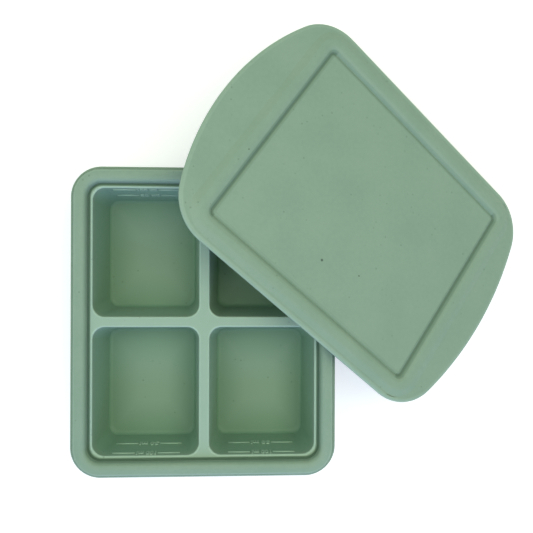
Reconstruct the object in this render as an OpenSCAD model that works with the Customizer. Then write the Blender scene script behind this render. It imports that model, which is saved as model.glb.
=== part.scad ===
// Freezer tray for baby food: a silicone tray with four drafted cups and a raised rim bead,
// a steel wire ring cast into that bead, and a silicone lid with a sunken panel.
// The lid leans on the tray's rim with one end on the table. Sizes are in millimetres.

/* [Tray] */
// Width of the tray over its lip
tray_w = 140; // [130:1:160]
// Length of the tray over its lip
tray_l = 164; // [150:1:190]
// Radius of the lip's corners
lip_r = 16; // [15:0.5:20]
// Height of the lip's top face above the table
lip_top = 37; // [34:0.5:44]
// Thickness of the lip
lip_t = 3; // [2:0.25:3.5]
// Width of the flat lip outside the bead
lip_w = 1.4; // [1.2:0.1:3]

/* [Rim bead] */
// Width of the bead
bead_w = 7.1; // [6:0.1:8]
// Height of the bead above the lip
bead_h = 2.5; // [2:0.25:4]
// Radius of the bead's two upper edges
bead_r = 2.2; // [1:0.1:2.4]
// Depth of the inner ledge below the lip's top face
ledge_drop = 2; // [1:0.25:3]

/* [Cups] */
// Width of the dividers between the cups
divider_w = 5.4; // [5:0.2:8]
// Width of the ledge between bead and cup
ledge_w = 2.5; // [1.5:0.25:4]
// Thickness of the cup walls, floors and ledge
wall_t = 2; // [1.5:0.25:2.5]
// How far each cup wall leans in from mouth to floor
cup_draft = 3.5; // [2:0.1:4]
// Corner radius at the cup's mouth
cup_r = 6.5; // [6:0.25:9]
// Radius of the edge round the cup's floor
floor_r = 1.5; // [1:0.1:1.6]

/* [Measuring marks] */
// Height of the lower mark above the cup's floor
low_mark = 15.4; // [10:0.1:18]
// Height of the upper mark above the cup's floor
high_mark = 29.4; // [24:0.1:29.6]
// Length of each of a mark's two ribs
mark_l = 12; // [8:0.5:14]
// Gap between the two ribs, left for the number
mark_gap = 12; // [8:0.5:16]
// Height of a rib on the wall
mark_h = 0.8; // [0.6:0.1:1.2]
// How far a rib stands out of the wall
mark_out = 0.4; // [0.3:0.05:0.6]

/* [Steel ring] */
// Diameter of the steel wire
wire_d = 3; // [2:0.1:3.2]
// Room between the wire and the silicone around it
wire_gap = 0.05; // [0.05:0.01:0.1]

/* [Lid] */
// Width of the lid
lid_w = 141.75; // [136:0.25:150]
// Distance from the lid's centre to the tip of its left end
lid_left = 99.75; // [92:0.25:105]
// Distance from the lid's centre to the tip of its right end
lid_right = 95.5; // [92:0.25:105]
// Radius of the left end's curve
left_r = 134; // [110:1:200]
// Radius of the right end's curve
right_r = 188; // [110:1:220]
// Radius of the lid's four corners
lid_r = 26.75; // [20:0.25:30]
// Thickness of the lid
lid_t = 3; // [2:0.25:4]
// Length of the sunken panel's floor
panel_l = 136; // [125:0.5:138]
// Width of the sunken panel's floor
panel_w = 113.5; // [105:0.5:114]
// Depth of the sunken panel
panel_drop = 1.5; // [1:0.1:2]
// Slant of the wall round the panel, measured in plan
panel_slant = 3; // [2:0.25:4.5]
// Corner radius of the panel's floor
panel_r = 2.5; // [2:0.25:6]
// How far the plug under the panel reaches below the lid's sheet
plug_reach = 4.25; // [3:0.25:4.25]
// Distance from the edge of the panel's floor out to the foot of the plug
plug_out = 4; // [3.5:0.1:4.2]
// Thickness of the plug's wall
plug_t = 2.4; // [2:0.1:3]
// Width of the cross of ribs under the panel
plug_rib = 8; // [7:0.5:10]

/* [Lid's place] */
// Distance from the tray's centre to the lid's centre, to the right
lid_x = 86.8; // [86.6:0.1:87]
// Distance from the tray's centre to the lid's centre, towards the back
lid_y = 57.2; // [57:0.1:57.4]
// Height of the middle of the lid's top face above the table
lid_z = 40.5; // [40.5:0.1:44]
// Angle between the lid and the table
lid_tilt = 21.8; // [21.6:0.1:21.8]
// Direction in which the lid slopes down
lid_fall = 10; // [9.5:0.5:10.5]
// Turn of the lid's long axis within its own plane
lid_turn = -48.2; // [-48.4:0.1:-48]

/* [Hidden] */
$fn = 96;

sage = [0.53, 0.66, 0.57];
steel = [0.62, 0.63, 0.65];

// The origin is the middle of the table area under the whole set, so the tray sits off centre.
set_shift = [-56, -37.6, 0];

// Rim: distances r from the centre of a lip corner outwards
ledge_top = lip_top - ledge_drop;
plate_low = ledge_top - wall_t;
bead_top = lip_top + bead_h;
bead_out = lip_r - lip_w;
bead_in = bead_out - bead_w;
wire_in = lip_w + bead_w / 2;
wire_z = (plate_low + bead_top) / 2;

// Cups
mouth = [
  (tray_w - divider_w) / 2 - lip_w - bead_w - ledge_w,
  (tray_l - divider_w) / 2 - lip_w - bead_w - ledge_w
];
cup_pitch = [mouth[0] + divider_w, mouth[1] + divider_w];
cup_depth = ledge_top - wall_t;
draft_angle = atan2(cup_draft, cup_depth);

// Lid
lid_half = lid_w / 2;
corner_y = lid_half - lid_r;
left_x = left_r - lid_left;
right_x = lid_right - right_r;
left_spread = asin(corner_y / (left_r - lid_r));
right_spread = asin(corner_y / (right_r - lid_r));
left_corner = left_x - (left_r - lid_r) * cos(left_spread);
right_corner = right_x + (right_r - lid_r) * cos(right_spread);
end_steps = 32;
corner_steps = 16;
plug_low = -lid_t - plug_reach;
plug_lean = 0.4;

// Small overlap that makes one solid of two that meet
bite = 0.5;

// Sweeps a profile (x outwards from the corner's centre, y up) round a rounded rectangle.
module sweep_round(w, l, r) {
  for (k = [0:3]) {
    a = k % 2 == 0 ? w : l;
    b = k % 2 == 0 ? l : w;
    rotate([0, 0, 90 * k])
      translate([a / 2 - r, b / 2 - r, 0]) {
        rotate_extrude(angle = 90)
          children();
        rotate([90, 0, 0])
          linear_extrude(b - 2 * r)
            children();
      }
  }
}

// Fills the middle of a swept profile that reaches in to the corners' centres.
module core(w, l, r, low, high) {
  translate([r - w / 2, r - l / 2, low])
    cube([w - 2 * r, l - 2 * r, high - low]);
}

// Half section of a cup-shaped block: leaning side, rounded foot.
module cup_section(top_r, lean, low, high, edge_r) {
  low_r = top_r - lean;
  angle = atan2(lean, high - low);
  edge_x = low_r - edge_r * (1 - sin(angle)) / cos(angle);
  union() {
    polygon([
      [0, low],
      [edge_x, low],
      [edge_x + edge_r * cos(angle), low + edge_r - edge_r * sin(angle)],
      [top_r, high],
      [0, high]
    ]);
    translate([edge_x, low + edge_r])
      circle(edge_r);
  }
}

// A block with rounded corners and leaning sides, w by l at its top.
module cup_block(w, l, top_r, lean, low, high, edge_r) {
  sweep_round(w, l, top_r)
    cup_section(top_r, lean, low, high, edge_r);
  core(w, l, top_r, low, high);
}

module bead_section() {
  straight_top = bead_top - bead_r;
  union() {
    translate([bead_in, plate_low])
      square([bead_w, straight_top - plate_low]);
    translate([bead_in + bead_r, plate_low])
      square([bead_w - 2 * bead_r, bead_top - plate_low]);
    for (x = [bead_in + bead_r, bead_out - bead_r])
      translate([x, straight_top])
        circle(bead_r);
  }
}

module rim_section() {
  union() {
    translate([0, plate_low])
      square([bead_out, ledge_top - plate_low]);
    translate([bead_in + bite, lip_top - lip_t])
      square([lip_r - bead_in - bite, lip_t]);
    bead_section();
  }
}

module at_cups() {
  for (x = [-0.5, 0.5], y = [-0.5, 0.5])
    translate([x * cup_pitch[0], y * cup_pitch[1], 0])
      children();
}

// Raised ribs on a cup's outer end wall, either side of the place for a number.
module marks(end) {
  for (z = [low_mark, high_mark], side = [-1, 1]) {
    wall_y = mouth[1] / 2 - cup_draft + z * tan(draft_angle);
    y = end * (wall_y - mark_out);
    translate([side * (mark_gap + mark_l) / 2, y + end * (mark_out + bite) / 2, wall_t + z])
      cube([mark_l, mark_out + bite, mark_h], center = true);
  }
}

module wire_ring(d) {
  sweep_round(tray_w, tray_l, lip_r)
    translate([lip_r - wire_in, wire_z])
      circle(d / 2);
}

module tray_body() {
  color(sage) {
    difference() {
      union() {
        sweep_round(tray_w, tray_l, lip_r)
          rim_section();
        core(tray_w, tray_l, lip_r, plate_low, ledge_top);
        at_cups()
          cup_block(
            mouth[0] + 2 * wall_t, mouth[1] + 2 * wall_t, cup_r + wall_t,
            cup_draft, 0, plate_low + bite, floor_r + wall_t / 2
          );
      }
      at_cups()
        cup_block(mouth[0], mouth[1], cup_r, cup_draft, wall_t, ledge_top, floor_r);
      wire_ring(wire_d + 2 * wire_gap);
    }
    for (x = [-0.5, 0.5], end = [-1, 1])
      translate([x * cup_pitch[0], end * cup_pitch[1] / 2, 0])
        marks(end);
  }
}

module rim_frame() {
  color(steel)
    wire_ring(wire_d);
}

// Points along an arc, without its last one, where the next arc of the outline starts.
function arc_points(centre, r, from, to, steps) = [
  for (i = [0:steps - 1])
    let (angle = from + (to - from) * i / steps)
      [centre[0] + r * cos(angle), centre[1] + r * sin(angle)]
];

// The lid's outline: a wide arc at either end and a corner on either side of each.
lid_outline = concat(
  arc_points([right_x, 0], right_r, -right_spread, right_spread, end_steps),
  arc_points([right_corner, corner_y], lid_r, right_spread, 90, corner_steps),
  [[right_corner, lid_half]],
  arc_points([left_corner, corner_y], lid_r, 90, 180 - left_spread, corner_steps),
  arc_points([left_x, 0], left_r, 180 - left_spread, 180 + left_spread, end_steps),
  arc_points([left_corner, -corner_y], lid_r, 180 + left_spread, 270, corner_steps),
  [[left_corner, -lid_half]],
  arc_points([right_corner, -corner_y], lid_r, 270, 360 - right_spread, corner_steps)
);

module lid_sheet() {
  translate([0, 0, -lid_t])
    linear_extrude(lid_t)
      polygon(lid_outline);
}

// A block with rounded corners, w by l at its top, leaning in towards its foot.
module leaning_block(w, l, r, lean, low, high) {
  sweep_round(w, l, r)
    polygon([[0, low], [r - lean, low], [r, high], [0, high]]);
  core(w, l, r, low, high);
}

// A leaning block whose foot is the panel's floor, grown by a margin.
module panel_block(grow, low, high, lean) {
  margin = grow + lean;
  leaning_block(panel_l + 2 * margin, panel_w + 2 * margin, panel_r + margin, lean, low, high);
}

// Four shallow hollows in the plug. The cross of ribs left between them lies over the dividers.
module plug_hollows() {
  inner = plug_out - plug_t;
  w = (panel_l - plug_rib) / 2 + inner;
  l = (panel_w - plug_rib) / 2 + inner;
  for (x = [-0.5, 0.5], y = [-0.5, 0.5])
    translate([x * (w + plug_rib), y * (l + plug_rib), 0])
      leaning_block(w, l, panel_r + inner, 0, plug_low - bite, -panel_drop - lid_t);
}

module lid_flat() {
  difference() {
    union() {
      lid_sheet();
      panel_block(plug_out, plug_low, -lid_t / 2, plug_lean);
    }
    panel_block(0, -panel_drop, 0, panel_slant);
    plug_hollows();
  }
}

module lid() {
  color(sage)
    translate([lid_x, lid_y, lid_z])
      rotate([0, 0, lid_fall])
        rotate([0, lid_tilt, 0])
          rotate([0, 0, lid_turn])
            lid_flat();
}

translate(set_shift) tray_body();
translate(set_shift) rim_frame();
translate(set_shift) lid();
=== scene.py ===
"""Looks of a baby food freezer tray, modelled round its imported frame.

The set is two silicone mouldings. The tray has four cups and a raised rim bead with a steel wire
ring cast into it. The lid leans on that rim with one end on the table. Sections and outlines are
written in millimetres, and the finished pieces are in metres in the frame's own axes: X to the
right, Y to the back and Z up, with the table at zero.
"""

import logging
import math
from dataclasses import dataclass, replace
from enum import Enum
from functools import cached_property

import bmesh
import bpy
from bmesh.types import BMEdge, BMFace, BMVert, BMesh
from mathutils import Matrix, Vector


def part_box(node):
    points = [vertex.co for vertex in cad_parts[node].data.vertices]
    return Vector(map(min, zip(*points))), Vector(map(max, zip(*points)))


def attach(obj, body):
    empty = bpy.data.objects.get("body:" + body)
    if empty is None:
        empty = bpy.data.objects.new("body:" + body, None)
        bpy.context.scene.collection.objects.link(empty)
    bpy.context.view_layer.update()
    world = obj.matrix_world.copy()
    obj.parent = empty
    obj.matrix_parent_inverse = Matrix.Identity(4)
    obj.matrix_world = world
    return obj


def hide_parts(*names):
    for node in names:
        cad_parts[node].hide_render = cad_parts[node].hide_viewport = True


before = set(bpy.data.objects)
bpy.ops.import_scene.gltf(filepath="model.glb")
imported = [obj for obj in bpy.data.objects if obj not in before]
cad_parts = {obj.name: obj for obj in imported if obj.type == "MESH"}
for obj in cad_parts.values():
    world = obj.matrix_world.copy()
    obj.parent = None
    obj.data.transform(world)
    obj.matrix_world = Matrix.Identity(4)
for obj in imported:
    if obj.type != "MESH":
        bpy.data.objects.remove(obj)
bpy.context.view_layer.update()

MM = 0.001
MERGE = 1e-4  # Points nearer than this are one, in millimetres.
UP = Vector((0.0, 0.0, 1.0))
WHITE = (1.0, 1.0, 1.0, 1.0)
# The vertex layer of painted light: painted shade down to -1 in a crease, painted highlight up to 1
# on a thin edge.
PAINTED_LIGHT_LAYER = "painted_light_and_shade"
# The lid's larger specks: X, Y, Z and radius in millimetres, where the lid leans at rest.
LID_SPOTS = (
    (4.8, -4.6, 50.8, 0.9),
    (25.5, -12.8, 43.2, 0.55),
    (-51.6, 21.8, 72.8, 0.6),
    (46.8, -76.7, 40.9, 0.7),
    (52.5, -77.7, 38.7, 0.7),
    (-25.7, 71.2, 59.2, 0.5),
    (-44.6, 51.9, 67.9, 0.45),
    (-33.3, 49.8, 63.6, 0.45),
    (105.4, -4.9, 12.8, 0.45),
    (106.3, -7.2, 12.6, 0.45),
    (107.3, -9.6, 12.4, 0.45),
)
log = logging.getLogger("freezer_tray")


class End(Enum):
    """The two ends of the tray that carry measuring marks, by the sign of Y."""

    FRONT = -1
    BACK = 1


class Facing(Enum):
    """Which way a plate's free side faces, by the sign of Z."""

    UP = 1
    DOWN = -1


def into_scene(name: str, data: bpy.types.ID) -> bpy.types.Object:
    """Puts a mesh, a lamp or a camera into the scene.

    Args:
        name: Name of the object.
        data: The mesh, the lamp or the camera.

    Returns:
        The object, at the origin.
    """
    made = bpy.data.objects.new(name, data)
    bpy.context.scene.collection.objects.link(made)
    return made


def as_object(name: str, shape: BMesh) -> bpy.types.Object:
    """Makes an object of a shape.

    Args:
        name: Name of the object and its mesh.
        shape: The shape in metres, which is freed.

    Returns:
        The object, at the origin with its place in its mesh.
    """
    data = bpy.data.meshes.new(name)
    shape.to_mesh(data)
    shape.free()
    return into_scene(name, data)


# ---------------------------------------------------------------- sections and outlines


@dataclass(frozen=True)
class Corner:
    """One corner of a section, in millimetres.

    Attributes:
        inward: Distance inwards from the outline that the section follows.
        height: Height of the corner above the table, or above the lid's top face.
        radius: Radius that rounds the corner.
        pale: Painted light on the rounding, from -1 (painted shade, darker) to 1 (painted
            highlight, paler).
    """

    inward: float
    height: float
    radius: float = 0.0
    pale: float = 0.0

    @property
    def point(self) -> Vector:
        """The corner as a point of the section's plane."""
        return Vector((self.inward, self.height))


@dataclass(frozen=True)
class Smoothing:
    """How finely sections are cut into faces.

    Attributes:
        degrees_per_face: The most that one face of a rounding turns.
        hold: Distance in millimetres between a stretch's end and the point that holds it flat.
        hold_share: The largest share of the stretch that this distance may be.
    """

    degrees_per_face: float = 9.0
    hold: float = 0.25
    hold_share: float = 0.25


SMOOTHING = Smoothing()


def rounding(before: Corner, here: Corner, after: Corner) -> list[Corner]:
    """Cuts the arc that rounds one corner of a section.

    Args:
        before: The corner before it.
        here: The corner to round.
        after: The corner after it.

    Returns:
        Points along the arc, which meets both legs without a kink.
    """
    back = (before.point - here.point).normalized()
    onward = (after.point - here.point).normalized()
    half = back.angle(onward) / 2
    reach = here.radius / math.tan(half)
    centre = here.point + (back + onward).normalized() * here.radius / math.sin(half)
    first = here.point + back * reach - centre
    sweep = math.pi - 2 * half
    if back.cross(onward) > 0:
        sweep = -sweep
    count = max(2, math.ceil(abs(math.degrees(sweep)) / SMOOTHING.degrees_per_face))
    arc = []
    for i in range(count + 1):
        spoke = Matrix.Rotation(sweep * i / count, 2) @ first
        arc.append(Corner(*(centre + spoke), pale=here.pale))
    return arc


def section(*corners: Corner) -> list[Corner]:
    """Rounds a section's corners and adds points that hold its straight stretches flat.

    Args:
        *corners: The section's corners from the outline inwards.

    Returns:
        The section's points in order, without radii.
    """
    points = [corners[0]]
    for before, here, after in zip(corners, corners[1:], corners[2:]):
        points += rounding(before, here, after) if here.radius else [here]
    points.append(corners[-1])
    held = [points[0]]
    for start, end in zip(points, points[1:]):
        leg = end.point - start.point
        if leg.length < MERGE / 100:
            continue
        if leg.length > SMOOTHING.hold / SMOOTHING.hold_share:
            step = leg.normalized() * SMOOTHING.hold
            # Between two shaded ends the shade blends. Beside a plain end it stops short.
            shaded = 1.0 if start.pale and end.pale else 0.0
            held.append(Corner(*(start.point + step), pale=start.pale * shaded))
            held.append(Corner(*(end.point - step), pale=end.pale * shaded))
        held.append(end)
    return held


class Outline:
    """A closed outline that is traced with arcs and straight lines, in millimetres.

    Attributes:
        mesh: The mesh that the outline is drawn into.
        height: Height at which it is drawn.
        verts: Its vertices so far.
        tip: The vertex that the next stretch starts from.
    """

    def __init__(self, mesh: BMesh, start: tuple[float, float], height: float) -> None:
        """Puts down the first vertex.

        Args:
            mesh: The mesh to draw into.
            start: The first point.
            height: Height of the outline.
        """
        self.mesh = mesh
        self.height = height
        self.tip = bmesh.ops.create_vert(mesh, co=(*start, height))["vert"][0]
        self.verts: list[BMVert] = [self.tip]

    def line(self, point: tuple[float, float]) -> None:
        """Draws a straight line to a point."""
        made = bmesh.ops.extrude_vert_indiv(self.mesh, verts=[self.tip])
        self.tip = made["verts"][0]
        self.tip.co = (*point, self.height)
        self.verts.append(self.tip)

    def arc(self, centre: tuple[float, float], degrees: float, steps: int) -> None:
        """Turns round a centre, anticlockwise.

        Args:
            centre: Centre of the arc.
            degrees: Angle that it turns through.
            steps: Number of edges that it is cut into.
        """
        known = set(self.mesh.verts)
        made = bmesh.ops.spin(
            self.mesh, geom=[self.tip], cent=(*centre, self.height), axis=UP,
            angle=math.radians(degrees), steps=steps, use_duplicate=False,
        )
        self.tip = next(g for g in made["geom_last"] if isinstance(g, BMVert))
        self.verts += [v for v in self.mesh.verts if v not in known]

    def close(self) -> BMFace:
        """Joins the last vertex to the first and fills the outline.

        Returns:
            The filled face, with its normal up.
        """
        bmesh.ops.remove_doubles(self.mesh, verts=self.verts, dist=MERGE)
        verts = [v for v in self.verts if v.is_valid]
        # Each edge once, in the order of drawing.
        edges = list(dict.fromkeys(e for v in verts for e in v.link_edges))
        face = bmesh.ops.contextual_create(self.mesh, geom=edges)["faces"][0]
        face.normal_update()
        if face.normal.z < 0:
            face.normal_flip()
        return face


@dataclass(frozen=True)
class RoundedOblong:
    """A rectangle with rounded corners, in millimetres.

    Attributes:
        width: Size along X.
        length: Size along Y.
        radius: Radius of its corners.
        centre: Middle of the rectangle.
        steps: Number of edges in each corner.
    """

    width: float
    length: float
    radius: float
    centre: tuple[float, float] = (0.0, 0.0)
    steps: int = 14

    def grown(self, by: float) -> "RoundedOblong":
        """The same rectangle, with its sides moved outwards."""
        return RoundedOblong(
            self.width + 2 * by, self.length + 2 * by, self.radius + by, self.centre, self.steps
        )

    def draw(self, mesh: BMesh, height: float) -> BMFace:
        """Draws the rectangle and fills it.

        Args:
            mesh: The mesh to draw into.
            height: Height at which it is drawn.

        Returns:
            The filled face.
        """
        x, y = self.centre
        half_w, half_l, r = self.width / 2, self.length / 2, self.radius
        quarter = [(1, 1), (-1, 1), (-1, -1), (1, -1)]
        outline = Outline(mesh, (x + half_w, y + half_l - r), height)
        for i, (sx, sy) in enumerate(quarter):
            outline.arc((x + sx * (half_w - r), y + sy * (half_l - r)), 90, self.steps)
            next_x, next_y = quarter[(i + 1) % 4]
            if sx == next_x:
                outline.line((x + sx * half_w, y + next_y * (half_l - r)))
            else:
                outline.line((x + next_x * (half_w - r), y + sy * half_l))
        return outline.close()


# ---------------------------------------------------------------- moulded shells


class Moulding:
    """A closed shell that is worked inwards, ring by ring, from its outline.

    Attributes:
        mesh: The shell in millimetres.
        pale: Vertex layer of painted light, from -1 (painted shade, darker) to 1 (painted
            highlight, paler).
    """

    def __init__(self) -> None:
        """Starts an empty shell."""
        self.mesh = bmesh.new()
        self.pale = self.mesh.verts.layers.float.new(PAINTED_LIGHT_LAYER)

    def slab(self, face: BMFace, thickness: float) -> tuple[BMFace, BMFace]:
        """Thickens an outline's face upwards.

        Args:
            face: The filled outline, which becomes the slab's underside.
            thickness: Thickness of the slab.

        Returns:
            The upper and the lower face of the slab.
        """
        made = bmesh.ops.extrude_face_region(self.mesh, geom=[face], use_keep_orig=True)["geom"]
        top = next(g for g in made if isinstance(g, BMFace))
        bmesh.ops.translate(self.mesh, verts=top.verts[:], vec=UP * thickness)
        for side, sign in ((top, 1), (face, -1)):
            side.normal_update()
            if side.normal.z * sign < 0:
                side.normal_flip()
        return top, face

    def work(self, face: BMFace, points: list[Corner], facing: Facing) -> None:
        """Follows a section from a face's rim inwards.

        Args:
            face: The face to work, which ends up as the flat inside the section.
            points: The section's points. The first one is the face's own rim.
            facing: Which way the face looks.
        """
        for before, after in zip(points, points[1:]):
            bmesh.ops.inset_region(
                self.mesh, faces=[face], use_boundary=True, use_even_offset=True,
                thickness=after.inward - before.inward,
                depth=(after.height - before.height) * facing.value,
            )
            for vert in face.verts:
                vert[self.pale] = after.pale

    def sink(self, face: BMFace, points: list[Corner], oblong: RoundedOblong) -> None:
        """Follows a section down from an oblong's rim, with corners that stay as round.

        Args:
            face: The oblong's face, which ends up as the floor.
            points: The section's points. The first one is the face's own rim.
            oblong: The oblong that the face was drawn from.
        """
        middle = Matrix.Translation((-oblong.centre[0], -oblong.centre[1], 0))
        for before, after in zip(points, points[1:]):
            face = bmesh.ops.extrude_discrete_faces(self.mesh, faces=[face])["faces"][0]
            shrunk = [
                (size / 2 - after.inward) / (size / 2 - before.inward)
                for size in (oblong.width, oblong.length)
            ]
            verts = face.verts[:]
            bmesh.ops.scale(self.mesh, vec=(*shrunk, 1.0), space=middle, verts=verts)
            bmesh.ops.translate(self.mesh, verts=verts, vec=UP * (after.height - before.height))
            for vert in verts:
                vert[self.pale] = after.pale

    def pierce(
        self, face: BMFace, oblongs: list[RoundedOblong], facing: Facing, pale: float = 0.0
    ) -> list[BMFace]:
        """Turns a flat face into a plate round several faces that can be worked on their own.

        Args:
            face: The flat face.
            oblongs: Outlines of the faces within it.
            facing: Which way the plate looks.
            pale: Painted light of the plate at the outlines, below 0 painted shade and above 0
                painted highlight.

        Returns:
            The faces within the plate, in the order of the outlines.
        """
        height = face.calc_center_median().z
        rim = face.edges[:]
        bmesh.ops.delete(self.mesh, geom=[face], context="FACES_ONLY")
        inner = [oblong.draw(self.mesh, height) for oblong in oblongs]
        for vert in (v for f in inner for v in f.verts):
            vert[self.pale] = pale
        edges = rim + [e for f in inner for e in f.edges]
        bmesh.ops.triangle_fill(
            self.mesh, edges=edges, use_beauty=True, normal=UP * facing.value
        )
        for f in inner:
            f.normal_update()
            if f.normal.z * facing.value < 0:
                f.normal_flip()
        return inner

    def turn_out(self) -> None:
        """Makes every face of the closed shell look outwards."""
        bmesh.ops.recalc_face_normals(self.mesh, faces=self.mesh.faces[:])

    def add(self, other: BMesh, place: Matrix, pale: float = 0.0) -> None:
        """Adds a copy of another closed shape.

        Args:
            other: The shape to add, which is freed.
            place: Where it goes.
            pale: Painted light of its silicone, below 0 painted shade and above 0 painted
                highlight.
        """
        bmesh.ops.transform(other, matrix=place, verts=other.verts[:])
        layer = other.verts.layers.float.new(PAINTED_LIGHT_LAYER)
        for vert in other.verts:
            vert[layer] = pale
        holder = bpy.data.meshes.new("holder")
        other.to_mesh(holder)
        other.free()
        self.mesh.from_mesh(holder)
        bpy.data.meshes.remove(holder)

    def cast(self, name: str, place: Matrix) -> bpy.types.Object:
        """Makes the finished piece.

        Args:
            name: Name of the piece.
            place: Where the moulding goes, in metres.

        Returns:
            The object, at the origin with its place in its mesh.
        """
        self.mesh.transform(place @ Matrix.Scale(MM, 4))
        for face in self.mesh.faces:
            face.smooth = True
        return as_object(name, self.mesh)


# ---------------------------------------------------------------- finishes


class NodeSheet:
    """The shader nodes of one material, or of the world.

    Attributes:
        owner: The material or the world.
        nodes: Its nodes.
        shader: Its shader.
    """

    def __init__(
        self, owner: bpy.types.Material | bpy.types.World, shader: str = "Principled BSDF"
    ) -> None:
        """Starts with a shader and an output.

        Args:
            owner: The new material or world.
            shader: Name of the shader that it starts with.
        """
        self.owner = owner
        owner.use_nodes = True
        self.nodes = owner.node_tree.nodes
        self.shader = self.nodes[shader]

    @cached_property
    def place(self) -> bpy.types.NodeSocket:
        """Place in the piece's own coordinates."""
        return self.add("ShaderNodeTexCoord").outputs["Object"]

    def add(self, kind: str, **settings: object) -> bpy.types.Node:
        """Adds a node and sets its properties.

        Args:
            kind: Blender's name for the node type.
            **settings: Properties of the node.

        Returns:
            The node.
        """
        node = self.nodes.new(kind)
        for name, value in settings.items():
            setattr(node, name, value)
        return node

    def feed(self, socket: bpy.types.NodeSocket, value: object) -> None:
        """Links an output to a socket, or sets the socket to a plain value."""
        if isinstance(value, bpy.types.NodeSocket):
            self.owner.node_tree.links.new(value, socket)
        else:
            socket.default_value = value

    def dress(self, values: dict[str, object]) -> None:
        """Feeds several sockets of the shader, by their names."""
        for name, value in values.items():
            self.feed(self.shader.inputs[name], value)

    def noise(self, scale: float, detail: float = 2.0, rough: float = 0.5) -> bpy.types.NodeSocket:
        """Noise in the piece's own place.

        Args:
            scale: Cells per metre.
            detail: Number of finer layers.
            rough: Strength of the finer layers.

        Returns:
            The noise, about 0.5 on average.
        """
        node = self.add("ShaderNodeTexNoise")
        self.feed(node.inputs["Vector"], self.place)
        self.feed(node.inputs["Scale"], scale)
        self.feed(node.inputs["Detail"], detail)
        self.feed(node.inputs["Roughness"], rough)
        return node.outputs["Fac"]

    def span(self, value: object, low: float, high: float, to_low: float, to_high: float) -> object:
        """Maps a range of values to another range.

        Args:
            value: The value to map.
            low: Where the first range starts.
            high: Where the first range ends.
            to_low: Where the second range starts.
            to_high: Where the second range ends.

        Returns:
            The mapped value, held within its range.
        """
        node = self.add("ShaderNodeMapRange")
        for socket, number in zip(node.inputs, (value, low, high, to_low, to_high)):
            self.feed(socket, number)
        return node.outputs["Result"]

    def spread(self, noise: bpy.types.NodeSocket, most: float = 1.0) -> bpy.types.NodeSocket:
        """Spreads a noise's usual values over the range from 0 to the most."""
        return self.span(noise, 0.35, 0.65, 0.0, most)

    def bump(self, height: object, strength: float, depth: float) -> bpy.types.NodeSocket:
        """Turns a height into fine relief.

        Args:
            height: The height, from 0 to 1.
            strength: Share of the relief that shows.
            depth: Depth of the relief in metres.

        Returns:
            The relief's normal.
        """
        node = self.add("ShaderNodeBump")
        for name, value in (("Height", height), ("Strength", strength), ("Distance", depth)):
            self.feed(node.inputs[name], value)
        return node.outputs["Normal"]

    def seen(self) -> bpy.types.NodeSocket:
        """1 on rays that the camera sees, straight on, in a gloss or through glass."""
        path = self.add("ShaderNodeLightPath")
        straight = self.math("ADD", path.outputs["Is Camera Ray"], path.outputs["Is Glossy Ray"])
        every = self.math("ADD", straight, path.outputs["Is Transmission Ray"])
        return self.math("MINIMUM", every, 1.0)

    def math(self, operation: str, *values: object) -> bpy.types.NodeSocket:
        """One step of arithmetic."""
        node = self.add("ShaderNodeMath", operation=operation)
        for socket, value in zip(node.inputs, values):
            self.feed(socket, value)
        return node.outputs["Value"]

    def blend(self, share: object, first: object, second: object) -> bpy.types.NodeSocket:
        """Blends two colours.

        Args:
            share: Share of the second colour.
            first: The first colour.
            second: The second colour.

        Returns:
            The blended colour.
        """
        node = self.add("ShaderNodeMix", data_type="RGBA")
        for name, value in (("Factor", share), ("A", first), ("B", second)):
            sockets = [s for s in node.inputs if s.name == name and s.enabled]
            self.feed(sockets[0], value)
        return next(s for s in node.outputs if s.enabled)


def linear(red: int, green: int, blue: int) -> tuple[float, float, float, float]:
    """Turns a screen colour into the linear colour that a shader takes.

    Args:
        red: Red, from 0 to 255.
        green: Green, from 0 to 255.
        blue: Blue, from 0 to 255.

    Returns:
        The linear colour, opaque.
    """
    def channel(value: int) -> float:
        """One channel's linear value."""
        share = value / 255
        return share / 12.92 if share <= 0.04045 else ((share + 0.055) / 1.055) ** 2.4

    return (channel(red), channel(green), channel(blue), 1.0)


@dataclass(frozen=True)
class CupPlaces:
    """Where a tray's four cups are, for the shade painted in them, in metres in the piece's own
    place.

    Attributes:
        top: Height that the walls' painted shade reaches up to.
        middle: Middle of the tray along X and Y.
        pitch: Distance between the cups' middles along X and Y.
        half: Half the size of a cup's floor along X and Y.
    """

    top: float
    middle: tuple[float, float]
    pitch: tuple[float, float]
    half: tuple[float, float]


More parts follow.
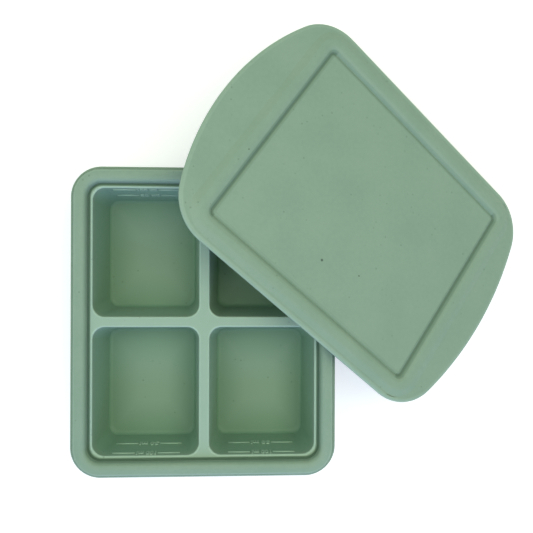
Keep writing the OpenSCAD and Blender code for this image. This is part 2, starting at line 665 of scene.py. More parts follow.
@dataclass(frozen=True)
class SageSilicone:
    """Matt sage silicone with faint clouding, dust, a fine moulded grain, and painted highlights
    and shade.

    A scale is cells per metre, and a share is how much of a colour lies over what is under it.

    Attributes:
        name: Name of the material.
        cups: Where the cups are, for the shade painted in them, if the piece has any.
        spots: Middle and radius of each larger speck, in millimetres in the piece's own place.
        body: Colour of the silicone.
        cloud: Slightly greyer colour of its clouds.
        pale: Painted highlight colour at thin edges, for light that shines through and catches
            them.
        deep: Painted shade colour at the bottom of a crease.
        wall: Painted shade colour of cup walls, darker and greener for light passing to and fro.
        wall_fade: Height over which that colour sets in, in millimetres.
        floor_middle: Colour in the middle of a cup's floor, clear of the painted shade.
        floor_painted_shade: Painted shade colour of a cup's floor beside its walls.
        floor_fade: Heights between which the floor's colour ends, in millimetres.
        floor_spread: Where its two colours meet, from 0 in its middle to 1 at its side.
        dust: Colour of the dust that clings to it.
        dust_grain: Distances between which a grain of dust ends, in cells.
        dust_patches: Values of the patchy noise between which the dust sets in.
        dirt: Colour of its larger specks.
        dirt_core: Share of a larger speck's radius that is evenly dark.
        grain_depth: Depth of the moulded grain, in metres.
    """

    name: str
    cups: CupPlaces | None = None
    spots: tuple[tuple[float, float, float, float], ...] = ()

    body: tuple[int, int, int] = (145, 170, 149)
    cloud: tuple[int, int, int] = (138, 165, 144)
    cloud_scale: float = 38.0
    cloud_share: float = 0.7
    mottle_scale: float = 420.0
    mottle_share: float = 0.35
    # Painted highlight colour for thin edges and painted shade colour for creases.
    pale: tuple[int, int, int] = (178, 206, 186)
    deep: tuple[int, int, int] = (82, 110, 90)

    # Painted shade in the cups: darker, greener walls and a floor that darkens towards them.
    wall: tuple[int, int, int] = (132, 168, 143)
    wall_fade: float = 6.0
    floor_middle: tuple[int, int, int] = (143, 171, 150)
    floor_painted_shade: tuple[int, int, int] = (119, 154, 128)
    floor_fade: tuple[float, float] = (2.4, 5.0)
    floor_spread: tuple[float, float] = (0.35, 0.95)
    floor_share: float = 0.85

    dust: tuple[int, int, int] = (96, 118, 101)
    dust_scale: float = 260.0
    dust_grain: tuple[float, float] = (0.08, 0.17)
    dust_patch_scale: float = 90.0
    dust_patches: tuple[float, float] = (0.54, 0.66)
    dust_share: float = 0.42
    dirt: tuple[int, int, int] = (58, 72, 62)
    dirt_core: float = 0.5
    dirt_share: float = 0.85

    roughness: tuple[float, float] = (0.49, 0.57)
    ior: float = 1.41
    sheen: float = 0.08
    sheen_roughness: float = 0.4
    grain_scale: float = 5200.0
    grain_strength: float = 0.12
    grain_depth: float = 0.00003

    def paint_cup_shade(
        self, sheet: NodeSheet, cups: CupPlaces, colour: bpy.types.NodeSocket
    ) -> bpy.types.NodeSocket:
        """Paints shade into the cups: darker, greener walls and a floor that darkens towards them.

        Args:
            sheet: The material's nodes.
            cups: Where the cups are.
            colour: Colour of the silicone elsewhere.

        Returns:
            The colour with the cups' painted shade.
        """
        spot = sheet.add("ShaderNodeSeparateXYZ")
        sheet.feed(spot.inputs[0], sheet.place)
        height = spot.outputs["Z"]
        # Painted shade: darker, greener walls below the ledge.
        low = sheet.span(height, cups.top - self.wall_fade * MM, cups.top, 1.0, 0.0)
        colour = sheet.blend(low, colour, linear(*self.wall))
        shares = []
        for axis, middle, pitch, half in zip("XY", cups.middle, cups.pitch, cups.half):
            away = sheet.math("ABSOLUTE", sheet.math("SUBTRACT", spot.outputs[axis], middle))
            away = sheet.math("ABSOLUTE", sheet.math("SUBTRACT", away, pitch / 2))
            shares.append(sheet.math("DIVIDE", away, half))
        # Painted shade on the floor, growing towards the walls.
        side = sheet.span(sheet.math("MAXIMUM", *shares), *self.floor_spread, 0.0, 1.0)
        floor = sheet.blend(side, linear(*self.floor_middle), linear(*self.floor_painted_shade))
        ends = [level * MM for level in self.floor_fade]
        return sheet.blend(sheet.span(height, *ends, self.floor_share, 0.0), colour, floor)

    def paint_edge_light(self, sheet: NodeSheet, colour: bpy.types.NodeSocket) -> bpy.types.NodeSocket:
        """Paints highlights on thin edges and shade into creases, as the mesh's painted light layer
        says.

        Args:
            sheet: The material's nodes.
            colour: Colour of the silicone elsewhere.

        Returns:
            The colour with its painted highlights and painted shade.
        """
        edge = sheet.add("ShaderNodeAttribute", attribute_name=PAINTED_LIGHT_LAYER).outputs["Fac"]
        # Painted highlight where the layer is above 0, painted shade where it is below.
        colour = sheet.blend(sheet.span(edge, 0.0, 1.0, 0.0, 1.0), colour, linear(*self.pale))
        return sheet.blend(sheet.span(edge, -1.0, 0.0, 1.0, 0.0), colour, linear(*self.deep))

    def specks(self, sheet: NodeSheet, colour: bpy.types.NodeSocket) -> bpy.types.NodeSocket:
        """Strews fine dust in patches, and puts the larger specks in their places.

        Args:
            sheet: The material's nodes.
            colour: Colour of the clean silicone.

        Returns:
            The colour with its specks.
        """
        cells = sheet.add("ShaderNodeTexVoronoi")
        sheet.feed(cells.inputs["Vector"], sheet.place)
        sheet.feed(cells.inputs["Scale"], self.dust_scale)
        grains = sheet.span(cells.outputs["Distance"], *self.dust_grain, 1.0, 0.0)
        patches = sheet.noise(self.dust_patch_scale, detail=0.0)
        rare = sheet.span(patches, *self.dust_patches, 0.0, self.dust_share)
        colour = sheet.blend(sheet.math("MULTIPLY", grains, rare), colour, linear(*self.dust))
        for *spot, radius in self.spots:
            away = sheet.add("ShaderNodeVectorMath", operation="DISTANCE")
            sheet.feed(away.inputs[0], sheet.place)
            sheet.feed(away.inputs[1], Vector(spot) * MM)
            ends = (radius * self.dirt_core * MM, radius * MM)
            dot = sheet.span(away.outputs["Value"], *ends, self.dirt_share, 0.0)
            colour = sheet.blend(dot, colour, linear(*self.dirt))
        return colour

    def make(self) -> bpy.types.Material:
        """Builds the material.

        Returns:
            The material.
        """
        sheet = NodeSheet(bpy.data.materials.new(self.name))
        clouds = sheet.spread(sheet.noise(self.cloud_scale, detail=3.0), self.cloud_share)
        mottle = sheet.spread(sheet.noise(self.mottle_scale), self.mottle_share)
        share = sheet.math("MINIMUM", sheet.math("ADD", clouds, mottle), 1.0)
        colour = sheet.blend(share, linear(*self.body), linear(*self.cloud))
        if self.cups:
            colour = self.paint_cup_shade(sheet, self.cups, colour)
        colour = self.specks(sheet, self.paint_edge_light(sheet, colour))
        grain = sheet.noise(self.grain_scale)
        sheet.dress({
            "Base Color": colour,
            "Roughness": sheet.span(mottle, 0.0, self.mottle_share, *self.roughness),
            "IOR": self.ior,
            "Sheen Weight": self.sheen,
            "Sheen Roughness": self.sheen_roughness,
            "Normal": sheet.bump(grain, self.grain_strength, self.grain_depth),
        })
        return sheet.owner


@dataclass(frozen=True)
class DrawnSteel:
    """Bright drawn wire with fine lines along it."""

    name: str = "drawn_steel"
    colour: tuple[int, int, int] = (188, 190, 193)
    dull: tuple[int, int, int] = (160, 161, 163)
    roughness: tuple[float, float] = (0.24, 0.4)
    line_scale: float = 3600.0
    line_strength: float = 0.1
    line_depth: float = 0.00002

    def make(self) -> bpy.types.Material:
        """Builds the material.

        Returns:
            The material.
        """
        sheet = NodeSheet(bpy.data.materials.new(self.name))
        lines = sheet.noise(self.line_scale, detail=3.0, rough=0.6)
        sheet.dress({
            "Base Color": sheet.blend(
                sheet.spread(lines), linear(*self.colour), linear(*self.dull)
            ),
            "Metallic": 1.0,
            "Roughness": sheet.span(lines, 0.3, 0.7, *self.roughness),
            "Normal": sheet.bump(lines, self.line_strength, self.line_depth),
        })
        return sheet.owner


# ---------------------------------------------------------------- the tray


@dataclass
class Tray:
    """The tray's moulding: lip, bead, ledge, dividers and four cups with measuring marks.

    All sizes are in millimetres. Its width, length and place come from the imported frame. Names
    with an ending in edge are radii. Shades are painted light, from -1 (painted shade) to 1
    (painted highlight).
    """

    node: str = "tray_body"
    ring_node: str = "rim_frame"
    body: str = "tray"
    slot: str = "tray_silicone"
    ring_slot: str = "ring_steel"

    lip_top: float = 37.0
    lip_t: float = 3.0
    lip_w: float = 1.4
    lip_r: float = 16.0
    lip_edge: float = 0.9
    # Painted shade on the lip and in the crease at its root, painted highlight under its edge.
    lip_shade: float = -0.15
    lip_root_edge: float = 0.25
    lip_root_shade: float = -0.6
    lip_foot_shade: float = 0.2
    bead_w: float = 7.1
    bead_edge: float = 1.0
    # Painted highlight on the bead's outer shoulder.
    bead_shade: float = 0.2
    crown_rise: float = 0.05
    crown_edge: float = 8.0
    gutter_drop: float = 0.8
    gutter_w: float = 1.4
    gutter_edge: float = 0.5
    # Painted shade in the gutter and on its rim.
    gutter_shade: float = -1.0
    gutter_rim_shade: float = -0.25
    ledge_drop: float = 2.0
    ledge_w: float = 2.5
    # Painted highlight on the ledge and dividers, growing towards the mouths.
    ledge_shade: float = 0.5
    divider_w: float = 5.4
    wall_t: float = 2.0
    cup_r: float = 6.5
    cup_draft: float = 3.5
    mouth_r: float = 6.7
    mouth_edge: float = 0.7
    mouth_border: float = 0.8
    # Painted highlight on the mouth's rounded edge.
    mouth_shade: float = 0.85
    # Depth under the ledge where the cups' painted shade starts.
    painted_shade_drop: float = 1.0
    floor_edge: float = 2.2
    foot_edge: float = 2.5
    root_edge: float = 0.5
    root_border: float = 0.6
    wire_channel_r: float = 1.55

    mark_heights: tuple[float, float] = (15.4, 29.4)
    mark_words: tuple[str, str] = ("50 ml", "100 ml")
    mark_l: float = 12.0
    mark_gap: float = 12.0
    mark_h: float = 0.8
    mark_out: float = 0.55
    mark_edge: float = 0.28
    # Painted highlight on the raised marks.
    mark_shade: float = 0.6
    figure_w: float = 10.6
    figure_h: float = 4.6
    figure_out: float = 0.44
    figure_edge: float = 0.05

    def __post_init__(self) -> None:
        """Takes the overall size and place from the frame, and works out what follows."""
        low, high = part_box(self.node)
        size = (high - low) / MM
        self.width, self.length, self.bead_top = size.x, size.y, high.z / MM
        self.centre = (low + high) / 2
        self.ledge_top = self.lip_top - self.ledge_drop
        self.plate_low = self.ledge_top - self.wall_t
        inset = 2 * (self.lip_w + self.bead_w + self.ledge_w)
        self.mouth_w = (self.width - inset - self.divider_w) / 2
        self.mouth_l = (self.length - inset - self.divider_w) / 2
        self.pitch = (self.mouth_w + self.divider_w, self.mouth_l + self.divider_w)
        self.draft = math.atan2(self.cup_draft, self.ledge_top - self.wall_t)

    def cup_centres(self) -> list[tuple[float, float]]:
        """Middle of each cup, from the tray's middle."""
        x, y = self.pitch[0] / 2, self.pitch[1] / 2
        return [(sx * x, sy * y) for sx in (-1, 1) for sy in (-1, 1)]

    def cup_places(self) -> CupPlaces:
        """Where the cups are, for the shade painted in them."""
        half = [size / 2 - self.cup_draft for size in (self.mouth_w, self.mouth_l)]
        return CupPlaces(
            top=(self.ledge_top - self.painted_shade_drop) * MM,
            middle=(self.centre.x, self.centre.y),
            pitch=tuple(distance * MM for distance in self.pitch),
            half=tuple(size * MM for size in half),
        )

    def top_section(self) -> list[Corner]:
        """Section over the lip and the bead, through the gutter and up to the ledge."""
        start = self.lip_w
        end = start + self.bead_w
        rim = end + self.gutter_w
        low = self.ledge_top - self.gutter_drop
        # Its corners carry painted shade in the creases and a painted highlight on the bead.
        return section(
            Corner(0, self.lip_top - self.lip_edge),
            Corner(0, self.lip_top, self.lip_edge, self.lip_shade),
            Corner(start, self.lip_top, self.lip_root_edge, self.lip_root_shade),
            Corner(start + 0.25, self.bead_top - 0.3, self.bead_edge, self.bead_shade),
            Corner((start + end) / 2, self.bead_top + self.crown_rise, self.crown_edge),
            Corner(end - 0.45, self.bead_top - 0.55, 2.4),
            Corner(end, low, self.gutter_edge, self.gutter_shade),
            Corner(rim, self.ledge_top, self.gutter_edge, self.gutter_rim_shade),
            Corner(rim + 0.15, self.ledge_top),
        )

    def under_section(self) -> list[Corner]:
        """Section under the lip, in to the plate's underside."""
        low = self.lip_top - self.lip_t
        # The lip's lower edge carries a painted highlight.
        return section(
            Corner(0, low + self.lip_edge),
            Corner(0, low, self.lip_edge, self.lip_foot_shade),
            Corner(self.lip_w, low, 0.3),
            Corner(self.lip_w + 1.2, self.plate_low, 0.3),
            Corner(self.lip_w + 2.2, self.plate_low),
        )

    def cup_section(self) -> list[Corner]:
        """Section from a cup's mouth down its wall and across its floor."""
        edge = self.mouth_border
        # The mouth's rounded edge carries a painted highlight.
        return section(
            Corner(0, self.ledge_top),
            Corner(edge, self.ledge_top, self.mouth_edge, self.mouth_shade),
            Corner(edge + self.cup_draft, self.wall_t, self.floor_edge),
            Corner(edge + self.cup_draft + self.floor_edge + 0.2, self.wall_t),
        )

    def foot_section(self) -> list[Corner]:
        """Section from the plate's underside down the outside of a cup."""
        edge = self.root_border
        return section(
            Corner(0, self.plate_low),
            Corner(edge, self.plate_low, self.root_edge),
            Corner(edge + self.cup_draft, 0, self.foot_edge),
            Corner(edge + self.cup_draft + 3.4, 0),
        )

    def wall_frame(self, end: End, height: float, cup_x: float) -> Matrix:
        """Axes on a cup's end wall: X along the reading direction, Y up the wall, Z out of it.

        Args:
            end: Which end of the tray the wall is at.
            height: Height above the cup's floor.
            cup_x: Where the cup's middle is along X.

        Returns:
            The axes, with their origin on the wall's face.
        """
        sign = end.value
        lean = self.cup_draft - height * math.tan(self.draft)
        y = sign * (self.pitch[1] / 2 + self.mouth_l / 2 - lean)
        across = Vector((sign, 0, 0))
        up = Vector((0, sign * math.sin(self.draft), math.cos(self.draft)))
        spot = Vector((cup_x, y, self.wall_t + height))
        place = Matrix.Identity(4)
        for column, axis in enumerate((across, up, across.cross(up), spot)):
            place.col[column].xyz = axis
        return place

    def rib(self) -> BMesh:
        """One raised rib, lying along X with its back in the wall."""
        mesh = bmesh.new()
        verts = bmesh.ops.create_cube(mesh, size=1.0)["verts"]
        bmesh.ops.scale(mesh, vec=(self.mark_l, self.mark_h, 2 * self.mark_out), verts=verts)
        front = [e for e in mesh.edges if all(v.co.z > 0 for v in e.verts)]
        bmesh.ops.bevel(
            mesh, geom=front, offset=self.mark_edge, offset_type="OFFSET", segments=4,
            profile=0.5, affect="EDGES", material=-1, clamp_overlap=True,
        )
        return mesh

    def figures(self, words: str) -> BMesh:
        """Raised figures that stand on a wall.

        Args:
            words: What they say.

        Returns:
            The figures as closed shapes, centred on the origin.
        """
        letters = bpy.data.curves.new("figures", "FONT")
        letters.body = words
        letters.extrude = self.figure_out
        letters.bevel_depth = self.figure_edge
        letters.resolution_u = 3
        holder = bpy.data.objects.new("figures", letters)
        data = bpy.data.meshes.new_from_object(holder)
        mesh = bmesh.new()
        mesh.from_mesh(data)
        verts = mesh.verts[:]
        low = Vector([min(v.co[axis] for v in verts) for axis in range(3)])
        high = Vector([max(v.co[axis] for v in verts) for axis in range(3)])
        bmesh.ops.translate(mesh, verts=verts, vec=-(low + high) / 2)
        size = high - low
        bmesh.ops.scale(
            mesh, vec=(self.figure_w / size.x, self.figure_h / size.y, 1.0), verts=verts
        )
        bmesh.ops.remove_doubles(mesh, verts=verts, dist=MERGE)
        bpy.data.objects.remove(holder)
        bpy.data.curves.remove(letters)
        bpy.data.meshes.remove(data)
        return mesh

    def add_marks(self, moulding: Moulding) -> None:
        """Adds the measuring marks to the outer end wall of each cup.

        Args:
            moulding: The tray's moulding.
        """
        for cup_x, cup_y in self.cup_centres():
            end = End.BACK if cup_y > 0 else End.FRONT
            for height, words in zip(self.mark_heights, self.mark_words):
                wall = self.wall_frame(end, height, cup_x)
                # The marks carry a painted highlight.
                for side in (-1, 1):
                    shift = Matrix.Translation((side * (self.mark_gap + self.mark_l) / 2, 0, 0))
                    moulding.add(self.rib(), wall @ shift, self.mark_shade)
                moulding.add(self.figures(words), wall, self.mark_shade)

    def channel(self) -> BMesh:
        """The channel that the wire ring lies in, as a tube whose faces look inwards."""
        mesh = bmesh.new()
        inset = self.lip_w + self.bead_w / 2
        r = self.lip_r - inset
        half_w, half_l = self.width / 2 - inset, self.length / 2 - inset
        height = (self.plate_low + self.bead_top) / 2
        ring = bmesh.ops.create_circle(mesh, segments=16, radius=self.wire_channel_r)["verts"]
        bmesh.ops.rotate(mesh, verts=ring, matrix=Matrix.Rotation(math.pi / 2, 3, "X"))
        bmesh.ops.translate(mesh, verts=ring, vec=(half_w, r - half_l, height))
        edges = mesh.edges[:]
        for sx, sy in ((1, 1), (-1, 1), (-1, -1), (1, -1)):
            run = 2 * ((half_l if sx == sy else half_w) - r)
            ahead = Vector((0, sy, 0)) if sx == sy else Vector((-sy, 0, 0))
            grown = bmesh.ops.extrude_edge_only(mesh, edges=edges)["geom"]
            verts = [g for g in grown if isinstance(g, BMVert)]
            bmesh.ops.translate(mesh, verts=verts, vec=ahead * run)
            open_edges = [g for g in grown if isinstance(g, BMEdge) and len(g.link_faces) == 1]
            made = bmesh.ops.spin(
                mesh, geom=open_edges + verts,
                cent=(sx * (half_w - r), sy * (half_l - r), height), axis=UP,
                angle=math.pi / 2, steps=14, use_duplicate=False,
            )
            edges = [g for g in made["geom_last"] if isinstance(g, BMEdge)]
        bmesh.ops.remove_doubles(mesh, verts=mesh.verts[:], dist=10 * MERGE)
        bmesh.ops.recalc_face_normals(mesh, faces=mesh.faces[:])
        bmesh.ops.reverse_faces(mesh, faces=mesh.faces[:])
        return mesh

    def mould(self) -> bpy.types.Object:
        """Builds the tray's moulding.

        Returns:
            The tray, in place.
        """
        moulding = Moulding()
        rim = RoundedOblong(self.width, self.length, self.lip_r, steps=24)
        low = self.lip_top - self.lip_t + self.lip_edge
        face = rim.draw(moulding.mesh, low)
        top, under = moulding.slab(face, self.lip_t - 2 * self.lip_edge)
        moulding.work(top, self.top_section(), Facing.UP)
        moulding.work(under, self.under_section(), Facing.DOWN)
        border, radius = self.mouth_border, self.mouth_r - self.mouth_border
        mouths = [
            RoundedOblong(self.mouth_w, self.mouth_l, radius, place).grown(border)
            for place in self.cup_centres()
        ]
        # The plate between the mouths carries a painted highlight that grows towards them.
        cups = moulding.pierce(top, mouths, Facing.UP, self.ledge_shade)
        for cup, mouth in zip(cups, mouths):
            moulding.sink(cup, self.cup_section(), mouth)
        border = self.wall_t + self.root_border
        feet = [
            RoundedOblong(self.mouth_w, self.mouth_l, self.cup_r, place).grown(border)
            for place in self.cup_centres()
        ]
        for foot in moulding.pierce(under, feet, Facing.DOWN):
            moulding.work(foot, self.foot_section(), Facing.DOWN)
        moulding.turn_out()
        self.add_marks(moulding)
        moulding.add(self.channel(), Matrix.Identity(4))
        place = Matrix.Translation((self.centre.x, self.centre.y, 0))
        return moulding.cast("tray_moulding", place)

    def build(self, silicone: bpy.types.Material, steel: bpy.types.Material) -> None:
        """Builds and dresses the tray and its ring.

        Args:
            silicone: Finish of the moulding.
            steel: Finish of the wire ring.
        """
        piece = self.mould()
        piece.data.materials.append(silicone)
        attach(piece, self.body)
        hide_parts(self.node)
        report(piece)
        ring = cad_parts[self.ring_node]
        ring.data.materials.clear()
        ring.data.materials.append(steel)
        report(ring)


# ---------------------------------------------------------------- the lid


@dataclass
class Lid:
    """The lid's moulding: a sheet with two bulging ends and a sunken panel.

    Sizes are in millimetres and angles in degrees. Heights are measured from the lid's top face,
    in its own flat frame. Middle is where the centre of that face lies from the tray's middle on
    the table. Shades are painted light, from -1 (painted shade) to 1 (painted highlight), and those
    of the crease's corners go from the shoulder inwards. End shade is how much deeper the crease's
    painted shade is at the panel's two short sides.
    """

    node: str = "lid"
    body: str = "lid"
    slot: str = "lid_silicone"

    width: float = 141.75
    left: float = 99.75
    right: float = 95.5
    left_r: float = 134.0
    right_r: float = 188.0
    corner_r: float = 26.75
    thickness: float = 3.0
    end_steps: int = 40
    corner_steps: int = 18
    edge_band: float = 0.2
    edge_depth: float = 2.2
    edge_drop: float = 1.1
    # Painted highlight on the lid's rounded edge and its border.
    edge_shade: float = 0.3
    border_shade: float = 0.2
    panel_l: float = 136.0
    panel_w: float = 113.5
    panel_r: float = 2.5
    panel_drop: float = 1.5
    step_out: float = 11.5
    shoulder_out: float = 4.75
    shoulder_edge: float = 5.0
    crease_drop: float = 0.6
    # Painted shade in the crease, and how much deeper it is at the panel's short sides.
    crease_shades: tuple[float, float, float] = (-0.17, -0.32, -0.09)
    end_shade: float = 2.4
    plug_out: float = 4.0
    plug_lean: float = 0.4
    plug_t: float = 2.4
    plug_reach: float = 4.25
    plug_border: float = 1.0
    plug_rib: float = 8.0
    hollow_border: float = 0.6

    middle: tuple[float, float, float] = (86.8, 57.2, 40.5)
    tilt: float = 21.8
    fall: float = 10.0
    turn: float = -48.2

    def outline(self, mesh: BMesh, height: float) -> BMFace:
        """Draws the lid's outline, which has a wide arc at either end.

        Args:
            mesh: The mesh to draw into.
            height: Height at which it is drawn.

        Returns:
            The filled face.
        """
        half = self.width / 2
        corner_y = half - self.corner_r
        spreads, ends, corners = {}, {}, {}
        for side, reach, end_r in ((1, self.right, self.right_r), (-1, self.left, self.left_r)):
            spread = math.asin(corner_y / (end_r - self.corner_r))
            spreads[side] = math.degrees(spread)
            ends[side] = side * (reach - end_r)
            corners[side] = ends[side] + side * (end_r - self.corner_r) * math.cos(spread)
        spread = math.radians(spreads[1])
        start = (ends[1] + self.right_r * math.cos(spread), -self.right_r * math.sin(spread))
        drawn = Outline(mesh, start, height)
        for side in (1, -1):
            drawn.arc((ends[side], 0), 2 * spreads[side], self.end_steps)
            middle = (corners[side], side * corner_y)
            drawn.arc(middle, 90 - spreads[side], self.corner_steps)
            drawn.line((corners[-side], side * half))
            middle = (corners[-side], side * corner_y)
            drawn.arc(middle, 90 - spreads[-side], self.corner_steps)
        return drawn.close()

    def top_section(self) -> list[Corner]:
        """Section over the lid's rounded edge."""
        # The rounded edge and border carry a painted highlight.
        return section(
            Corner(0, -self.edge_depth),
            Corner(0, -self.edge_drop - 0.55, 0.5, self.edge_shade),
            Corner(1.2, -self.edge_drop, 2.0, self.border_shade),
            Corner(2.3, -self.edge_drop),
        )

    def under_section(self) -> list[Corner]:
        """Section under the lid's edge."""
        start = -self.edge_depth - self.edge_band
        radius = self.thickness + start
        return section(
            Corner(0, start), Corner(0, -self.thickness, radius), Corner(2.5, -self.thickness)
        )

    def panel_section(self) -> list[Corner]:
        """Section up the sloping border, over the soft shoulder and the crease to the panel."""
        foot = self.step_out
        shoulder = foot - self.shoulder_out
        # The crease carries painted shade.
        outer, deepest, inner = self.crease_shades
        return section(
            Corner(0, -self.edge_drop),
            Corner(0.4, -self.edge_drop, 2.0),
            Corner(shoulder - 2.65, 0, self.shoulder_edge),
            Corner(shoulder + 1.5, 0, self.shoulder_edge),
            Corner(foot - 1.3, -1.0, 1.5, outer),
            Corner(foot, -self.panel_drop - self.crease_drop, 0.5, deepest),
            Corner(foot + 1.6, -self.panel_drop, 1.5, inner),
            Corner(foot + 2.3, -self.panel_drop),
        )

    def plug_section(self) -> list[Corner]:
        """Section from the lid's underside down the outside of the plug."""
        edge, low = self.plug_border, -self.thickness - self.plug_reach
        return section(
            Corner(0, -self.thickness),
            Corner(edge, -self.thickness, 0.6),
            Corner(edge + self.plug_lean, low, 0.8),
            Corner(edge + self.plug_lean + 0.9, low),
        )

    def hollow_section(self) -> list[Corner]:
        """Section from the plug's underside up into one of its shallow hollows."""
        low = -self.thickness - self.plug_reach
        high = -self.thickness - self.panel_drop
        edge = self.hollow_border
        return section(
            Corner(0, low), Corner(edge, low, 0.5), Corner(0.8, high, 0.8), Corner(2.0, high)
        )

    def hollows(self) -> list[RoundedOblong]:
        """Outlines of the four hollows in the plug, grown by their rounded edge."""
        inner = self.plug_out - self.plug_t
        width = (self.panel_l - self.plug_rib) / 2 + inner
        length = (self.panel_w - self.plug_rib) / 2 + inner
        x, y = (width + self.plug_rib) / 2, (length + self.plug_rib) / 2
        hollow = RoundedOblong(width, length, self.panel_r + inner).grown(self.hollow_border)
        return [
            replace(hollow, centre=(sx * x, sy * y)) for sx in (-1, 1) for sy in (-1, 1)
        ]

    def place(self) -> Matrix:
        """Where the lid leans, in metres."""
        low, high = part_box("tray_body")
        tray_middle = (low + high) / 2
        spot = Vector((tray_middle.x, tray_middle.y, 0)) + Vector(self.middle) * MM
        turns = (
            Matrix.Rotation(math.radians(self.fall), 4, "Z")
            @ Matrix.Rotation(math.radians(self.tilt), 4, "Y")
            @ Matrix.Rotation(math.radians(self.turn), 4, "Z")
        )
        return Matrix.Translation(spot) @ turns

    def mould(self) -> bpy.types.Object:
        """Builds the lid's moulding.

        Returns:
            The lid, in place.
        """
        moulding = Moulding()
        face = self.outline(moulding.mesh, -self.edge_depth - self.edge_band)
        top, under = moulding.slab(face, self.edge_band)
        moulding.work(top, self.top_section(), Facing.UP)
        moulding.work(under, self.under_section(), Facing.DOWN)
        floor = RoundedOblong(self.panel_l, self.panel_w, self.panel_r)
        panel = moulding.pierce(top, [floor.grown(self.step_out)], Facing.UP)[0]
        moulding.work(panel, self.panel_section(), Facing.UP)
        # Deepens the crease's painted shade at the panel's two short sides.
        for vert in moulding.mesh.verts:
            if vert[moulding.pale] < 0 and abs(vert.co.x) > self.panel_l / 2 - self.panel_r:
                vert[moulding.pale] *= self.end_shade
        root = floor.grown(self.plug_out + self.plug_lean + self.plug_border)
        plug = moulding.pierce(under, [root], Facing.DOWN)[0]
        moulding.work(plug, self.plug_section(), Facing.DOWN)
        for hollow in moulding.pierce(plug, self.hollows(), Facing.DOWN):
            moulding.work(hollow, self.hollow_section(), Facing.DOWN)
        moulding.turn_out()
        return moulding.cast("lid_moulding", self.place())

    def build(self, silicone: bpy.types.Material) -> None:
        """Builds and dresses the lid.

        Args:
            silicone: Finish of the moulding.
        """
        piece = self.mould()
        piece.data.materials.append(silicone)
        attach(piece, self.body)
        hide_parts(self.node)
        report(piece)


# ---------------------------------------------------------------- studio


@dataclass(frozen=True)
class Lamp:
    """One square soft lamp, in metres, aimed at a point on the table.

    Attributes:
        name: What it is.
        place: Where it hangs.
        size: Length of its side.
        power: Its power in watts.
        colour: Its colour.
    """

    name: str
    place: tuple[float, float, float]
    size: float
    power: float
    colour: tuple[float, float, float]

    def hang(self, aim: Vector) -> None:
        """Hangs the lamp.

        Args:
            aim: The point that it shines at.
        """
        data = bpy.data.lights.new(self.name, "AREA")
        data.shape = "SQUARE"
        data.size = self.size
        data.energy = self.power
        data.color = self.colour
        lamp = into_scene(self.name, data)
        lamp.location = self.place
        lamp.rotation_euler = (aim - Vector(self.place)).to_track_quat("-Z", "Y").to_euler()


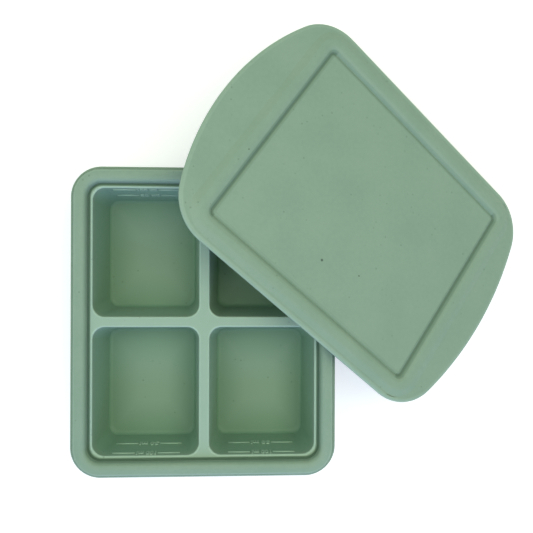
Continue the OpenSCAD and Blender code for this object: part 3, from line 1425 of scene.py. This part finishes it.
@dataclass
class Studio:
    """The pale table, the lamps and the camera above it all.

    Attributes:
        lamps: The lamps.
        aim: The point that they shine at.
        sky: Strength of the room's even light.
        sky_colour: Its colour.
        camera_place: Where the camera is.
        camera_turn: Its turn from looking straight down, as an axis whose length is the angle.
        lens: Its focal length in millimetres.
        sensor: Width of its sensor in millimetres.
        floor_reach: Distance from the middle of the table to its sides.
        floor_drop: How far the table lies under the object.
        floor_grey: Its brightness.
        floor_glow: How much it glows under the object, for the camera only.
        glow_ends: Distances from the middle between which that glow rises to white.
    """

    lamps: tuple[Lamp, ...] = (
        Lamp("left_softbox", (-0.45, 0.0, 0.8), 0.5, 1.0, (0.9, 1.0, 0.85)),
        Lamp("right_softbox", (0.2, 0.1, 0.85), 0.5, 2.3, (1.0, 0.98, 0.7)),
        Lamp("front_window", (0.0, -0.9, 0.45), 0.6, 4.3, (0.36, 0.44, 1.0)),
    )
    aim: tuple[float, float, float] = (0.0, 0.0, 0.03)
    sky: float = 0.48
    sky_colour: tuple[float, float, float] = (0.86, 1.0, 0.96)
    camera_place: tuple[float, float, float] = (-0.04244, -0.00824, 0.39859)
    camera_turn: tuple[float, float, float] = (0.0006, -0.0537, 0.0034)
    lens: float = 45.93
    sensor: float = 36.0
    floor_reach: float = 6.0
    floor_drop: float = 0.0002
    floor_grey: float = 0.8
    floor_glow: float = 0.53
    glow_ends: tuple[float, float] = (0.3, 1.2)

    def lay_floor(self) -> None:
        """Lays the pale table, which keeps the object's soft shadow."""
        shape = bmesh.new()
        bmesh.ops.create_grid(shape, x_segments=1, y_segments=1, size=self.floor_reach)
        bmesh.ops.translate(shape, verts=shape.verts[:], vec=-UP * self.floor_drop)
        floor = as_object("table_top", shape)
        sheet = NodeSheet(bpy.data.materials.new("pale_table"))
        away = sheet.add("ShaderNodeVectorMath", operation="LENGTH")
        sheet.feed(away.inputs[0], sheet.place)
        far = sheet.span(away.outputs["Value"], *self.glow_ends, self.floor_glow, 1.0)
        greys = (self.floor_grey - 0.01, self.floor_grey)
        sheet.dress({
            "Base Color": sheet.span(sheet.noise(30.0), 0.0, 1.0, *greys),
            "Roughness": 0.9,
            "Specular IOR Level": 0.0,
            "Emission Color": WHITE,
            "Emission Strength": sheet.math("MULTIPLY", sheet.seen(), far),
        })
        floor.data.materials.append(sheet.owner)

    def light(self) -> None:
        """Hangs the lamps and sets the even light of the room, which the camera sees white."""
        for lamp in self.lamps:
            lamp.hang(Vector(self.aim))
        sheet = NodeSheet(bpy.data.worlds.new("white_room"), "Background")
        even = (*(self.sky * share for share in self.sky_colour), 1.0)
        sheet.dress({"Color": sheet.blend(sheet.seen(), even, WHITE)})
        bpy.context.scene.world = sheet.owner

    def set_camera(self) -> None:
        """Sets the camera above the table, where the photograph was taken from."""
        data = bpy.data.cameras.new("camera")
        data.lens = self.lens
        data.sensor_width = self.sensor
        data.clip_start = 0.01
        camera = into_scene("camera", data)
        turn = Vector(self.camera_turn)
        matrix = Matrix.Rotation(turn.length, 3, turn.normalized())
        camera.rotation_mode = "QUATERNION"
        camera.rotation_quaternion = matrix.to_quaternion()
        camera.location = self.camera_place
        bpy.context.scene.camera = camera

    def set_up(self) -> None:
        """Lays the floor, hangs the lamps and sets the camera."""
        self.lay_floor()
        self.light()
        self.set_camera()
        bpy.context.scene.view_settings.view_transform = "Standard"


def report(piece: bpy.types.Object) -> None:
    """Logs a finished piece with its size."""
    size = [round(side / MM, 1) for side in piece.dimensions]
    log.info("%s: %d faces, %s mm", piece.name, len(piece.data.polygons), size)


def main() -> None:
    """Builds the studio, the tray and the lid."""
    logging.basicConfig(level=logging.INFO, format="%(message)s")
    Studio().set_up()
    tray = Tray()
    tray.build(SageSilicone("tray_silicone", cups=tray.cup_places()).make(), DrawnSteel().make())
    Lid().build(SageSilicone("lid_silicone", spots=LID_SPOTS).make())


if __name__ == "__main__":
    main()
